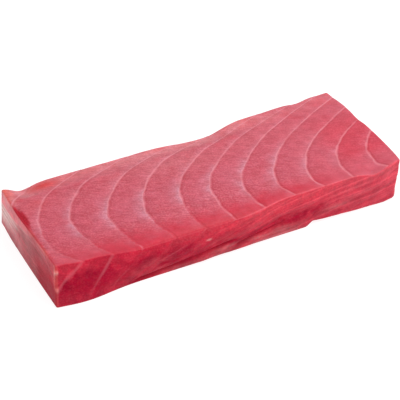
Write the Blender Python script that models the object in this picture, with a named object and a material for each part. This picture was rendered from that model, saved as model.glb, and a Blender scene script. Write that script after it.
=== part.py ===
"""A block of raw tuna, cut square for slicing, as one solid.

X runs along the block, -Y is its front face and +Y its back face, and it lies on its base at Z = 0.
All lengths are in millimetres and become metres when the mesh is made.
The block starts as a straight-sided lattice box, which is rounded at its edges and then shaped.
"""

import bmesh
import bpy
import numpy as np

METRES_PER_MM = 0.001

# The straight-sided block before it is shaped
LENGTH = 200.0
WIDTH = 76.0
THICKNESS = 26.0
HALF_LENGTH = LENGTH / 2
HALF_WIDTH = WIDTH / 2

# Lattice: lines at these distances from each edge, and even cells between the last ones
EDGE_LINES = (0.0, 0.4, 1.1, 2.2, 4.2)
CELLS = (58, 18, 8)

# Radii of the edges
SAWN_RADIUS = 0.9
BASE_RADIUS = 1.0
SHOULDER_RADIUS = 4.4
CORNER_RADIUS = 2.6

# Where one face's radius or outline takes over from another's, as shares of the way to that face
BLEND_START = 0.25
BLEND_END = 0.7
END_SHARE_START = 0.6

# The soft shoulder along the middle of the front edge, from the left end to where the edge turns sharp
SHOULDER_START = -84.0
SHOULDER_END = 34.0
SHOULDER_FADE = 32.0
SHOULDER_OUT = 3.2
SHOULDER_DROOP = 1.2
DROOP_START_Y = -17.0

# Part of the shoulder whose edge is also rounded off widely
SOFT_START = -68.0
SOFT_END = 14.0
SOFT_FADE = 26.0

# Outline seen from above: how far the faces stand out from the straight block
FRONT_OVERHANG = 2.2
FRONT_OVERHANG_FADE = 14.0
OVERHANG_FULL_RISE = 0.8
FRONT_FOOT_OUT = 0.7
FRONT_FOOT_LEFT_OUT = 0.8
BACK_LEAN_IN = 2.6
BACK_LEAN_RIGHT = 0.4
BACK_LEAN_CHANGE_X = 30.0
BACK_FOOT_OUT = 1.0
LEFT_BOW = 1.6
LEFT_BOW_Y = 13.0
LEFT_BOW_SPREAD = 28.0
LEFT_FOOT_OUT = 0.4
LEFT_FOOT_FRONT_OUT = 1.1
LEFT_FOOT_BACK_Y = 11.0
LEFT_FOOT_FRONT_Y = -23.0
RIGHT_BOW = 3.4
RIGHT_BOW_START_Y = -61.0
RIGHT_BOW_END_Y = 46.0
RIGHT_LEAN_IN = 1.4
RIGHT_DENT = (9.0, 8.0, 1.1)

# The slanted strip along the back of the top, from its crease to the back edge
CREASE_Y = 21.0
BACK_EDGE_Y = 35.0
STRIP_DROP = 2.6
STRIP_REACH = 1.3
STRIP_END = 42.0
STRIP_FADE = 24.0

# The back-left corner curls up beyond a shallow valley
CURL_START_Y = 17.0
TIP_RISE = 2.0
VALLEY_X = -90.0
VALLEY_SPREAD = 7.5
VALLEY_DEPTH = 2.4

# Dips in the back edge and in the front edge, as (centre, spread, depth)
BACK_DIP = (15.0, 17.0, 1.7)
BACK_SCALLOP = (79.0, 6.0, 1.6)
FRONT_DIP = (85.0, 6.5, 2.8)
FRONT_DIP_START_Y = -28.0

# A groove just inside the left end leaves a thin lip; it is deep behind and thin in front
GROOVE_INSET = 1.7
GROOVE_SPREAD = 0.9
GROOVE_DEEP = 1.3
GROOVE_THIN = 0.5
GROOVE_DEEP_Y = (-4.0, 17.0)
GROOVE_THIN_Y = (-26.0, 8.0)
GROOVE_FADE = 5.5
GROOVE_RISE = (0.85, 0.95)

# Long crease that climbs the front face, then a second one, each as (start, end, low, high);
# the lip below them passes from the first to the second where the fold changes
LONG_CREASE = (-62.0, 3.0, 1.6, 10.7)
LONG_CREASE_POWER = 1.35
SECOND_CREASE = (-3.0, 36.0, 3.2, 9.0)
SECOND_CREASE_TURN = 0.6 * np.pi
FOLD_CHANGE = (-13.0, 5.0)
CREASE_SPREAD = 1.1
CREASE_DEPTH = 1.3
CREASE_FADE = 9.0
CREASE_BASE_RISE = 0.08
FRONT_FACE_Y = (-30.0, -36.5)
SHORT_CREASE = (-41.0, 10.0)
SHORT_CREASE_SPREAD = (4.0, 1.0)
SHORT_CREASE_DEPTH = 0.6

# The rounded lip that bulges below the creases
LIP_START = -34.0
LIP_END = 50.0
LIP_FADE = 16.0
LIP_BELOW = 4.2
LIP_SPREAD = 3.2
LIP_OUT = 1.5

# The front bottom edge lifts off the base right of a notch, and bulges near the left end
NOTCH_X = 49.0
NOTCH_RISE_WIDTH = 5.0
NOTCH_LIFT = 2.6
NOTCH_INNER_Y = -32.5
NOTCH_RUN_OUT = 24.0
LEFT_BULGE = (-83.0, 15.0, 2.3)

MEAT_NAME = "tuna_block"
MEAT_COLOUR = (0.62, 0.075, 0.115, 1.0)
MEAT_ROUGHNESS = 0.38


def clear_scene():
    for old in list(bpy.data.objects):
        bpy.data.objects.remove(old, do_unlink=True)


def ramp(value, start, end):
    """Smooth step from 0 at start to 1 at end."""
    share = np.clip((value - start) / (end - start), 0.0, 1.0)
    return share * share * (3.0 - 2.0 * share)


def window(value, start, end, fade):
    """1 between start and end, with smooth fades inside both."""
    return ramp(value, start, start + fade) * ramp(-value, -end, -end + fade)


def hump(value, centre, spread):
    """Rounded rise of height 1 at the centre."""
    return np.exp(-(((value - centre) / spread) ** 2))


def lattice_lines(size, cells):
    """Line positions across one direction: close together near both edges and even between them."""
    near = np.array(EDGE_LINES)
    even = np.linspace(near[-1], size - near[-1], cells + 1)
    return np.concatenate([near[:-1], even, size - near[-2::-1]])


def edge_radius(x, y, z):
    """Radius of the rounded edge that a point of the straight block is nearest to."""
    top = ramp(z, THICKNESS * BLEND_START, THICKNESS * BLEND_END)
    front = ramp(-y, HALF_WIDTH * BLEND_START, HALF_WIDTH * BLEND_END)
    right = ramp(x, HALF_LENGTH - 3 * CORNER_RADIUS, HALF_LENGTH - CORNER_RADIUS)
    radius = BASE_RADIUS + (SAWN_RADIUS - BASE_RADIUS) * top
    soft = window(x, SOFT_START, SOFT_END, SOFT_FADE)
    radius = radius + (SHOULDER_RADIUS - SAWN_RADIUS) * soft * top * front
    return radius + (CORNER_RADIUS - BASE_RADIUS) * right * front * (1 - top)


def rounded(points):
    """Moves points of the straight block onto its rounded edges and corners."""
    half = np.array([HALF_LENGTH, HALF_WIDTH, THICKNESS / 2])
    middle = np.array([0.0, 0.0, THICKNESS / 2])
    radius = edge_radius(*points.T)[:, None]
    offset = points - middle
    core = np.clip(offset, radius - half, half - radius)
    outward = offset - core
    return middle + core + outward * radius / np.linalg.norm(outward, axis=1, keepdims=True)


def shoulder(x):
    """Share of the soft shoulder along the front edge."""
    return window(x, SHOULDER_START, SHOULDER_END, SHOULDER_FADE)


def front_outline(x, rise):
    """How far the front face stands out, where rise is 0 at the base and 1 at the top."""
    overhang = FRONT_OVERHANG * window(x, -HALF_LENGTH, HALF_LENGTH, FRONT_OVERHANG_FADE)
    bulge_x, bulge_spread, bulge_out = LEFT_BULGE
    left = window(x, -HALF_LENGTH - FRONT_OVERHANG_FADE, 0.0, 2 * FRONT_OVERHANG_FADE)
    foot = FRONT_FOOT_OUT + FRONT_FOOT_LEFT_OUT * left + bulge_out * hump(x, bulge_x, bulge_spread)
    return (overhang + SHOULDER_OUT * shoulder(x)) * ramp(rise, 0.0, OVERHANG_FULL_RISE) + foot * (1 - rise)


def back_outline(x, rise):
    """How far the back face stands out; its top leans in and its foot stands out."""
    dip_x, dip_spread, dip_in = BACK_DIP
    scallop_x, scallop_spread, scallop_in = BACK_SCALLOP
    lean = BACK_LEAN_IN + (BACK_LEAN_RIGHT - BACK_LEAN_IN) * ramp(x, BACK_LEAN_CHANGE_X, HALF_LENGTH)
    lean = lean + dip_in * hump(x, dip_x, dip_spread) + scallop_in * hump(x, scallop_x, scallop_spread)
    return BACK_FOOT_OUT * (1 - rise) - lean * rise


def left_outline(y, rise):
    """How far the left end stands out."""
    foot = LEFT_FOOT_OUT + LEFT_FOOT_FRONT_OUT * ramp(-y, -LEFT_FOOT_BACK_Y, -LEFT_FOOT_FRONT_Y)
    return LEFT_BOW * hump(y, LEFT_BOW_Y, LEFT_BOW_SPREAD) + foot * (1 - rise)


def right_outline(y, rise):
    """How far the right end stands out; its foot leans in."""
    dent_y, dent_spread, dent_in = RIGHT_DENT
    bow = RIGHT_BOW * window(y, RIGHT_BOW_START_Y, RIGHT_BOW_END_Y, HALF_WIDTH)
    return bow - dent_in * hump(y, dent_y, dent_spread) * rise - RIGHT_LEAN_IN * (1 - rise)


def groove_depth(inset, y):
    """Depth of the groove just inside the left end."""
    deep = GROOVE_DEEP * window(y, *GROOVE_DEEP_Y, GROOVE_FADE)
    thin = GROOVE_THIN * window(y, *GROOVE_THIN_Y, GROOVE_FADE)
    return np.maximum(deep, thin) * hump(inset, GROOVE_INSET, GROOVE_SPREAD)


def top_height(x, y):
    """Height of the top surface at a place seen from above."""
    dip_x, dip_spread, dip_down = FRONT_DIP
    back_x, back_spread, back_down = BACK_DIP
    beyond = np.clip((y - CREASE_Y) / (BACK_EDGE_Y - CREASE_Y), 0.0, STRIP_REACH)
    strip = STRIP_DROP * beyond * ramp(-x, -STRIP_END, STRIP_FADE - STRIP_END)
    corner = ramp(y, CURL_START_Y, BACK_EDGE_Y)
    tip = TIP_RISE * corner * ramp(-x, -VALLEY_X, HALF_LENGTH)
    valley = VALLEY_DEPTH * corner * hump(x, VALLEY_X, VALLEY_SPREAD)
    droop = SHOULDER_DROOP * shoulder(x) * ramp(-y, -DROOP_START_Y, HALF_WIDTH)
    back_dip = back_down * hump(x, back_x, back_spread) * ramp(y, CREASE_Y, BACK_EDGE_Y)
    front_dip = dip_down * hump(x, dip_x, dip_spread) * ramp(-y, -FRONT_DIP_START_Y, HALF_WIDTH)
    return THICKNESS - strip + tip - valley - droop - back_dip - front_dip


def crease_press(x, z):
    """How far the folds press the front face in, or let it bulge out where the result is negative."""
    start, end, low, high = LONG_CREASE
    share = np.clip((x - start) / (end - start), 0.0, 1.0)
    long_height = low + (high - low) * share**LONG_CREASE_POWER
    press = CREASE_DEPTH * window(x, start, end, CREASE_FADE) * hump(z, long_height, CREASE_SPREAD)
    start, end, low, high = SECOND_CREASE
    share = np.clip((x - start) / (end - start), 0.0, 1.0)
    second_height = low + (high - low) * np.sin(share * SECOND_CREASE_TURN)
    second = window(x, start, end, CREASE_FADE) * hump(z, second_height, CREASE_SPREAD)
    across, up = SHORT_CREASE_SPREAD
    short = hump(x, SHORT_CREASE[0], across) * hump(z, SHORT_CREASE[1], up)
    fold = long_height + (second_height - long_height) * ramp(x, *FOLD_CHANGE)
    lip = window(x, LIP_START, LIP_END, LIP_FADE) * hump(z, fold - LIP_BELOW, LIP_SPREAD)
    return press + CREASE_DEPTH * second + SHORT_CREASE_DEPTH * short - LIP_OUT * lip


def edge_lift(x, y):
    """How far the front bottom edge is lifted off the base, to the right of the notch."""
    lift = NOTCH_LIFT * ramp(x, NOTCH_X - NOTCH_RISE_WIDTH, NOTCH_X)
    lift = lift * np.exp(-np.maximum(x - NOTCH_X, 0.0) / NOTCH_RUN_OUT)
    return lift * ramp(-y, -NOTCH_INNER_Y, HALF_WIDTH)


def shaped(points):
    """Turns points of the straight block into points of the real one."""
    x, y, z = rounded(points).T
    rise = z / THICKNESS
    front_share = ramp(-y, 0.0, HALF_WIDTH)
    back_share = ramp(y, 0.0, HALF_WIDTH)
    on_front = ramp(-y, -FRONT_FACE_Y[0], -FRONT_FACE_Y[1])
    across = y - front_outline(x, rise) * front_share + back_outline(x, rise) * back_share
    across = across + crease_press(x, z) * on_front * ramp(rise, 0.0, CREASE_BASE_RISE)
    left_share = ramp(-x, HALF_LENGTH * END_SHARE_START, HALF_LENGTH)
    right_share = ramp(x, HALF_LENGTH * END_SHARE_START, HALF_LENGTH)
    along = x - left_outline(y, rise) * left_share + right_outline(y, rise) * right_share
    height = z * top_height(along, across) / THICKNESS
    height = height - groove_depth(x + HALF_LENGTH, across) * ramp(rise, *GROOVE_RISE)
    height = height + edge_lift(x, y) * (1 - rise)
    return np.stack([along, across, height], axis=1)


def centred(points):
    """Moves the points so that their box is centred in X and Y and stands on Z = 0."""
    low, high = points.min(axis=0), points.max(axis=0)
    middle = (low + high) / 2
    return points - np.array([middle[0], middle[1], low[2]])


def box_faces(counts, base_rim):
    """Faces over a lattice box as rings of lattice places, all facing out. The flat base is one face."""
    faces = []
    for axis in range(3):
        across, along = (axis + 1) % 3, (axis + 2) % 3
        for level in (0, counts[axis] - 1):
            for a in range(counts[across] - 1):
                for b in range(counts[along] - 1):
                    on_base = axis == 2 and level == 0
                    if on_base and inside_rim((a, b), counts, base_rim):
                        continue
                    ring = []
                    for step_a, step_b in ((0, 0), (1, 0), (1, 1), (0, 1)):
                        place = [0, 0, 0]
                        place[axis], place[across], place[along] = level, a + step_a, b + step_b
                        ring.append(tuple(place))
                    faces.append(ring if level else ring[::-1])
    faces.append(base_ring(counts, base_rim))
    return faces


def inside_rim(cell, counts, rim):
    """Whether a cell of the base lies inside the rim of small cells."""
    return all(rim <= cell[i] < counts[i] - 1 - rim for i in range(2))


def base_ring(counts, rim):
    """The outline of the flat base inside its rim, turned to face down."""
    last_x, last_y = counts[0] - 1 - rim, counts[1] - 1 - rim
    ring = [(i, rim, 0) for i in range(rim, last_x)]
    ring += [(last_x, j, 0) for j in range(rim, last_y)]
    ring += [(i, last_y, 0) for i in range(last_x, rim, -1)]
    ring += [(rim, j, 0) for j in range(last_y, rim, -1)]
    return ring[::-1]


def meat_material():
    material = bpy.data.materials.new("tuna_flesh")
    material.use_nodes = True
    shader = material.node_tree.nodes["Principled BSDF"]
    shader.inputs["Base Color"].default_value = MEAT_COLOUR
    shader.inputs["Roughness"].default_value = MEAT_ROUGHNESS
    shader.inputs["Metallic"].default_value = 0.0
    return material


def make_block():
    """Builds the block's mesh from the lattice and puts it in the scene."""
    sizes = (LENGTH, WIDTH, THICKNESS)
    lines = [lattice_lines(size, cells) for size, cells in zip(sizes, CELLS)]
    lines[0] = lines[0] - HALF_LENGTH
    lines[1] = lines[1] - HALF_WIDTH
    faces = box_faces([len(line) for line in lines], len(EDGE_LINES) - 1)
    places = sorted({place for ring in faces for place in ring})
    straight = np.array([[lines[axis][place[axis]] for axis in range(3)] for place in places])
    corners = centred(shaped(straight)) * METRES_PER_MM

    shape = bmesh.new()
    made = {place: shape.verts.new(corner) for place, corner in zip(places, corners)}
    for ring in faces:
        shape.faces.new([made[place] for place in ring])
    mesh = bpy.data.meshes.new(MEAT_NAME)
    shape.to_mesh(mesh)
    shape.free()

    block = bpy.data.objects.new(MEAT_NAME, mesh)
    block.data.materials.append(meat_material())
    bpy.context.scene.collection.objects.link(block)
    block.data.shade_smooth()


clear_scene()
make_block()
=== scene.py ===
"""The looks of a block of raw tuna: its fine surface, flesh material, floor, light and camera.

Lengths here are in millimetres, like the block's own sizes, and become metres when a mesh is made.
The fine surface starts as a straight-sided lattice box, which is rounded and shaped as the solid is,
and then gets the flesh's own relief: flakes between the muscle seams, soft swells and dimples.
"""

import math
from types import SimpleNamespace

import bpy
import numpy as np
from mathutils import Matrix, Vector, noise


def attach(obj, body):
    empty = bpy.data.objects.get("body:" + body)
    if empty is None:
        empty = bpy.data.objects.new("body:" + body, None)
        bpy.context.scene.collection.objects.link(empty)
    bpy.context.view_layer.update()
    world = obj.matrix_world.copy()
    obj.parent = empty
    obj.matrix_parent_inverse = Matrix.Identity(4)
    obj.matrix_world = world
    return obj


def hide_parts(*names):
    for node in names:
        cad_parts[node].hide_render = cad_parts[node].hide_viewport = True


NODE = "tuna_block"
METRES_PER_MM = 0.001

# The straight-sided block before it is shaped
LENGTH = 200.0
WIDTH = 76.0
THICKNESS = 26.0
HALF_LENGTH = LENGTH / 2
HALF_WIDTH = WIDTH / 2

# Radii of the edges
SAWN_RADIUS = 0.9
BASE_RADIUS = 1.0
SHOULDER_RADIUS = 4.4
CORNER_RADIUS = 2.6

# Where one face's radius or outline takes over from another's, as shares of the way to that face
BLEND_START = 0.25
BLEND_END = 0.7
END_SHARE_START = 0.6

# The soft shoulder along the middle of the front edge, from the left end to where the edge turns sharp
SHOULDER_START = -84.0
SHOULDER_END = 34.0
SHOULDER_FADE = 32.0
SHOULDER_OUT = 3.2
SHOULDER_DROOP = 1.2
DROOP_START_Y = -17.0

# Part of the shoulder whose edge is also rounded off widely
SOFT_START = -68.0
SOFT_END = 14.0
SOFT_FADE = 26.0

# Outline seen from above: how far the faces stand out from the straight block
FRONT_OVERHANG = 2.2
FRONT_OVERHANG_FADE = 14.0
OVERHANG_FULL_RISE = 0.8
FRONT_FOOT_OUT = 0.7
FRONT_FOOT_LEFT_OUT = 0.8
BACK_LEAN_IN = 2.6
BACK_LEAN_RIGHT = 0.4
BACK_LEAN_CHANGE_X = 30.0
BACK_FOOT_OUT = 1.0
LEFT_BOW = 1.6
LEFT_BOW_Y = 13.0
LEFT_BOW_SPREAD = 28.0
LEFT_FOOT_OUT = 0.4
LEFT_FOOT_FRONT_OUT = 1.1
LEFT_FOOT_BACK_Y = 11.0
LEFT_FOOT_FRONT_Y = -23.0
RIGHT_BOW = 3.4
RIGHT_BOW_START_Y = -61.0
RIGHT_BOW_END_Y = 46.0
RIGHT_LEAN_IN = 1.4
RIGHT_DENT = (9.0, 8.0, 1.1)

# The slanted strip along the back of the top, from its crease to the back edge
CREASE_Y = 21.0
BACK_EDGE_Y = 35.0
STRIP_DROP = 2.6
STRIP_REACH = 1.3
STRIP_END = 42.0
STRIP_FADE = 24.0

# The back-left corner curls up beyond a shallow valley
CURL_START_Y = 17.0
TIP_RISE = 2.0
VALLEY_X = -90.0
VALLEY_SPREAD = 7.5
VALLEY_DEPTH = 2.4

# Dips in the back edge and in the front edge, as (centre, spread, depth)
BACK_DIP = (15.0, 17.0, 1.7)
BACK_SCALLOP = (79.0, 6.0, 1.6)
FRONT_DIP = (85.0, 6.5, 2.8)
FRONT_DIP_START_Y = -28.0

# A groove just inside the left end leaves a thin lip; it is deep behind and thin in front
GROOVE_INSET = 1.7
GROOVE_SPREAD = 0.9
GROOVE_DEEP = 1.3
GROOVE_THIN = 0.5
GROOVE_DEEP_Y = (-4.0, 17.0)
GROOVE_THIN_Y = (-26.0, 8.0)
GROOVE_FADE = 5.5
GROOVE_RISE = (0.85, 0.95)

# Long crease that climbs the front face, then a second one, each as (start, end, low, high);
# the lip below them passes from the first to the second where the fold changes
LONG_CREASE = (-62.0, 3.0, 1.6, 10.7)
LONG_CREASE_POWER = 1.35
SECOND_CREASE = (-3.0, 36.0, 3.2, 9.0)
SECOND_CREASE_TURN = 0.6 * np.pi
FOLD_CHANGE = (-13.0, 5.0)
CREASE_SPREAD = 1.1
CREASE_DEPTH = 1.3
CREASE_FADE = 9.0
CREASE_BASE_RISE = 0.08
FRONT_FACE_Y = (-30.0, -36.5)
SHORT_CREASE = (-41.0, 10.0)
SHORT_CREASE_SPREAD = (4.0, 1.0)
SHORT_CREASE_DEPTH = 0.6

# The rounded lip that bulges below the creases
LIP_START = -34.0
LIP_END = 50.0
LIP_FADE = 16.0
LIP_BELOW = 4.2
LIP_SPREAD = 3.2
LIP_OUT = 1.5

# The front bottom edge lifts off the base right of a notch, and bulges near the left end
NOTCH_X = 49.0
NOTCH_RISE_WIDTH = 5.0
NOTCH_LIFT = 2.6
NOTCH_INNER_Y = -32.5
NOTCH_RUN_OUT = 24.0
LEFT_BULGE = (-83.0, 15.0, 2.3)

# Fine lattice: lines at these distances from each edge, and about this far apart between the last ones
FINE_EDGE_LINES = (0.0, 0.12, 0.3, 0.6, 1.0, 1.5, 2.1)
FINE_PITCH = 0.78

# Muscle seams on the top, left to right, as (x and y of the leftmost point, bend per mm behind and in front)
SEAMS = (
    (-114.1, -16.0, 0.0107, 0.011),
    (-96.9, -16.5, 0.0117, 0.019),
    (-79.3, -13.0, 0.0175, 0.0115),
    (-60.2, -17.5, 0.0190, 0.010),
    (-40.8, -19.5, 0.0185, 0.009),
    (-20.8, -22.5, 0.0190, 0.006),
    (-3.6, -25.0, 0.0181, 0.009),
    (14.0, -28.5, 0.0175, 0.015),
    (32.5, -29.5, 0.0181, 0.026),
    (50.8, -31.0, 0.0198, 0.032),
    (69.9, -31.0, 0.0232, 0.022),
    (89.0, -31.5, 0.0225, 0.070),
)
SEAM_SPACING = 18.3
MORE_SEAMS = 5
# Seams bend away to the right on the slanted strip, from this Y on, between these seams
SEAM_STRIP_SLANT = 0.65
SEAM_STRIP_Y = 18.0
SEAM_STRIP_FIRST_X = (-112.0, -100.0)
SEAM_STRIP_LAST_X = (0.0, 20.0)
# How far a seam moves to the left per mm of depth, as (left X, right X, value at both)
SEAM_DIP_X = (-72.0, 26.0, 0.60, 2.45)
# Wobble of the seams, as (size, wave length, phase per seam)
SEAM_WOBBLES = ((0.42, 33.0, 1.7), (0.22, 13.0, 2.9), (0.10, 5.3, 0.8))
# The first seam bows on its way down the front face, as (its x, reach along X, size, length down the face)
FIRST_SEAM_BOW = (-96.9, 8.0, -3.7, 56.0)

# Relief of the flesh in mm, where the reach of the step at a seam is a share of the way to the next one
SWELL_HEIGHT = 0.30
SWELL_SIZE = 26.0
DIMPLE_HEIGHT = 0.07
DIMPLE_SIZE = 6.0
FLAKE_CAMBER = 0.16
FLAKE_STEP = 0.10
FLAKE_STEP_REACH = 0.12
NOISE_SEED_PLACE = Vector((31.0, 7.0, 53.0))


def ramp(value, start, end):
    """Smooth step from 0 at start to 1 at end."""
    share = np.clip((value - start) / (end - start), 0.0, 1.0)
    return share * share * (3.0 - 2.0 * share)


def graded(value, start, end, low, high):
    """Smooth step from low at start to high at end."""
    return low + (high - low) * ramp(value, start, end)


def window(value, start, end, fade):
    """1 between start and end, with smooth fades inside both."""
    return ramp(value, start, start + fade) * ramp(-value, -end, -end + fade)


def hump(value, centre, spread):
    """Rounded rise of height 1 at the centre."""
    return np.exp(-(((value - centre) / spread) ** 2))


def edge_radius(x, y, z):
    """Radius of the rounded edge that a point of the straight block is nearest to."""
    top = ramp(z, THICKNESS * BLEND_START, THICKNESS * BLEND_END)
    front = ramp(-y, HALF_WIDTH * BLEND_START, HALF_WIDTH * BLEND_END)
    right = ramp(x, HALF_LENGTH - 3 * CORNER_RADIUS, HALF_LENGTH - CORNER_RADIUS)
    radius = BASE_RADIUS + (SAWN_RADIUS - BASE_RADIUS) * top
    soft = window(x, SOFT_START, SOFT_END, SOFT_FADE)
    radius = radius + (SHOULDER_RADIUS - SAWN_RADIUS) * soft * top * front
    return radius + (CORNER_RADIUS - BASE_RADIUS) * right * front * (1 - top)


def rounding(points):
    """Centres and radii of the rounding at points of the straight block, and the directions out of it."""
    half = np.array([HALF_LENGTH, HALF_WIDTH, THICKNESS / 2])
    middle = np.array([0.0, 0.0, THICKNESS / 2])
    radius = edge_radius(*points.T)[:, None]
    core = np.clip(points - middle, radius - half, half - radius)
    outward = points - middle - core
    return middle + core, radius, outward / np.linalg.norm(outward, axis=1, keepdims=True)


def rounded(points):
    """Moves points of the straight block onto its rounded edges and corners."""
    centre, radius, outward = rounding(points)
    return centre + outward * radius


def shoulder(x):
    """Share of the soft shoulder along the front edge."""
    return window(x, SHOULDER_START, SHOULDER_END, SHOULDER_FADE)


def front_outline(x, rise):
    """How far the front face stands out, where rise is 0 at the base and 1 at the top."""
    overhang = FRONT_OVERHANG * window(x, -HALF_LENGTH, HALF_LENGTH, FRONT_OVERHANG_FADE)
    bulge_x, bulge_spread, bulge_out = LEFT_BULGE
    left = window(x, -HALF_LENGTH - FRONT_OVERHANG_FADE, 0.0, 2 * FRONT_OVERHANG_FADE)
    foot = FRONT_FOOT_OUT + FRONT_FOOT_LEFT_OUT * left + bulge_out * hump(x, bulge_x, bulge_spread)
    return (overhang + SHOULDER_OUT * shoulder(x)) * ramp(rise, 0.0, OVERHANG_FULL_RISE) + foot * (1 - rise)


def back_outline(x, rise):
    """How far the back face stands out; its top leans in and its foot stands out."""
    dip_x, dip_spread, dip_in = BACK_DIP
    scallop_x, scallop_spread, scallop_in = BACK_SCALLOP
    lean = graded(x, BACK_LEAN_CHANGE_X, HALF_LENGTH, BACK_LEAN_IN, BACK_LEAN_RIGHT)
    lean = lean + dip_in * hump(x, dip_x, dip_spread) + scallop_in * hump(x, scallop_x, scallop_spread)
    return BACK_FOOT_OUT * (1 - rise) - lean * rise


def left_outline(y, rise):
    """How far the left end stands out."""
    foot = LEFT_FOOT_OUT + LEFT_FOOT_FRONT_OUT * ramp(-y, -LEFT_FOOT_BACK_Y, -LEFT_FOOT_FRONT_Y)
    return LEFT_BOW * hump(y, LEFT_BOW_Y, LEFT_BOW_SPREAD) + foot * (1 - rise)


def right_outline(y, rise):
    """How far the right end stands out; its foot leans in."""
    dent_y, dent_spread, dent_in = RIGHT_DENT
    bow = RIGHT_BOW * window(y, RIGHT_BOW_START_Y, RIGHT_BOW_END_Y, HALF_WIDTH)
    return bow - dent_in * hump(y, dent_y, dent_spread) * rise - RIGHT_LEAN_IN * (1 - rise)


def groove_depth(inset, y):
    """Depth of the groove just inside the left end."""
    deep_red_and_shade = GROOVE_DEEP * window(y, *GROOVE_DEEP_Y, GROOVE_FADE)
    thin = GROOVE_THIN * window(y, *GROOVE_THIN_Y, GROOVE_FADE)
    return np.maximum(deep_red_and_shade, thin) * hump(inset, GROOVE_INSET, GROOVE_SPREAD)


def top_height(x, y):
    """Height of the top surface at a place seen from above."""
    dip_x, dip_spread, dip_down = FRONT_DIP
    back_x, back_spread, back_down = BACK_DIP
    beyond = np.clip((y - CREASE_Y) / (BACK_EDGE_Y - CREASE_Y), 0.0, STRIP_REACH)
    strip = STRIP_DROP * beyond * ramp(-x, -STRIP_END, STRIP_FADE - STRIP_END)
    corner = ramp(y, CURL_START_Y, BACK_EDGE_Y)
    tip = TIP_RISE * corner * ramp(-x, -VALLEY_X, HALF_LENGTH)
    valley = VALLEY_DEPTH * corner * hump(x, VALLEY_X, VALLEY_SPREAD)
    droop = SHOULDER_DROOP * shoulder(x) * ramp(-y, -DROOP_START_Y, HALF_WIDTH)
    back_dip = back_down * hump(x, back_x, back_spread) * ramp(y, CREASE_Y, BACK_EDGE_Y)
    front_dip = dip_down * hump(x, dip_x, dip_spread) * ramp(-y, -FRONT_DIP_START_Y, HALF_WIDTH)
    return THICKNESS - strip + tip - valley - droop - back_dip - front_dip


def crease_heights(x):
    """Heights on the front face of the long crease, of the second one, and of the fold that joins them."""
    start, end, low, high = LONG_CREASE
    share = np.clip((x - start) / (end - start), 0.0, 1.0)
    first = low + (high - low) * share**LONG_CREASE_POWER
    start, end, low, high = SECOND_CREASE
    share = np.clip((x - start) / (end - start), 0.0, 1.0)
    second = low + (high - low) * np.sin(share * SECOND_CREASE_TURN)
    return first, second, first + (second - first) * ramp(x, *FOLD_CHANGE)


def crease_press(x, z):
    """How far the folds press the front face in, or let it bulge out where the result is negative."""
    first, second, fold = crease_heights(x)
    press = window(x, *LONG_CREASE[:2], CREASE_FADE) * hump(z, first, CREASE_SPREAD)
    press = press + window(x, *SECOND_CREASE[:2], CREASE_FADE) * hump(z, second, CREASE_SPREAD)
    across, up = SHORT_CREASE_SPREAD
    short = hump(x, SHORT_CREASE[0], across) * hump(z, SHORT_CREASE[1], up)
    lip = window(x, LIP_START, LIP_END, LIP_FADE) * hump(z, fold - LIP_BELOW, LIP_SPREAD)
    return CREASE_DEPTH * press + SHORT_CREASE_DEPTH * short - LIP_OUT * lip


def edge_lift(x, y):
    """How far the front bottom edge is lifted off the base, to the right of the notch."""
    lift = NOTCH_LIFT * ramp(x, NOTCH_X - NOTCH_RISE_WIDTH, NOTCH_X)
    lift = lift * np.exp(-np.maximum(x - NOTCH_X, 0.0) / NOTCH_RUN_OUT)
    return lift * ramp(-y, -NOTCH_INNER_Y, HALF_WIDTH)


def shaped(points):
    """Turns points of the straight block into points of the real one."""
    x, y, z = rounded(points).T
    rise = z / THICKNESS
    front_share = ramp(-y, 0.0, HALF_WIDTH)
    back_share = ramp(y, 0.0, HALF_WIDTH)
    on_front = ramp(-y, -FRONT_FACE_Y[0], -FRONT_FACE_Y[1])
    across = y - front_outline(x, rise) * front_share + back_outline(x, rise) * back_share
    across = across + crease_press(x, z) * on_front * ramp(rise, 0.0, CREASE_BASE_RISE)
    left_share = ramp(-x, HALF_LENGTH * END_SHARE_START, HALF_LENGTH)
    right_share = ramp(x, HALF_LENGTH * END_SHARE_START, HALF_LENGTH)
    along = x - left_outline(y, rise) * left_share + right_outline(y, rise) * right_share
    height = z * top_height(along, across) / THICKNESS
    height = height - groove_depth(x + HALF_LENGTH, across) * ramp(rise, *GROOVE_RISE)
    height = height + edge_lift(x, y) * (1 - rise)
    return np.stack([along, across, height], axis=1)


def seam_table():
    """All seams, with more beyond both ends, as arrays of x, y and both bends."""
    left_x, right_x = SEAMS[0][0], SEAMS[-1][0]
    left = [(left_x - SEAM_SPACING * n, *SEAMS[0][1:]) for n in range(MORE_SEAMS, 0, -1)]
    right = [(right_x + SEAM_SPACING * n, *SEAMS[-1][1:]) for n in range(1, MORE_SEAMS + 1)]
    return np.array(left + list(SEAMS) + right).T


def seam_positions(y, down):
    """Where each seam lies along X at these places across and below the top, a row for each place."""
    apex_x, apex_y, back_bend, front_bend = seam_table()
    number = np.arange(len(apex_x))
    across = y[:, None] - apex_y
    bowed = np.where(across > 0, back_bend, front_bend) * across**2
    slanted = ramp(apex_x, *SEAM_STRIP_FIRST_X) * (1.0 - ramp(apex_x, *SEAM_STRIP_LAST_X))
    strip = SEAM_STRIP_SLANT * np.maximum(y[:, None] - SEAM_STRIP_Y, 0.0) * slanted
    dip = graded(apex_x, *SEAM_DIP_X)
    bow_x, bow_reach, bow_size, bow_length = FIRST_SEAM_BOW
    bow = bow_size * np.sin(2 * math.pi * down[:, None] / bow_length) * hump(apex_x, bow_x, bow_reach)
    found = apex_x + bowed + strip - dip * down[:, None] + bow
    for size, length, phase in SEAM_WOBBLES:
        found = found + size * np.sin(2 * math.pi * y[:, None] / length + phase * number)
    return found


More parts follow.
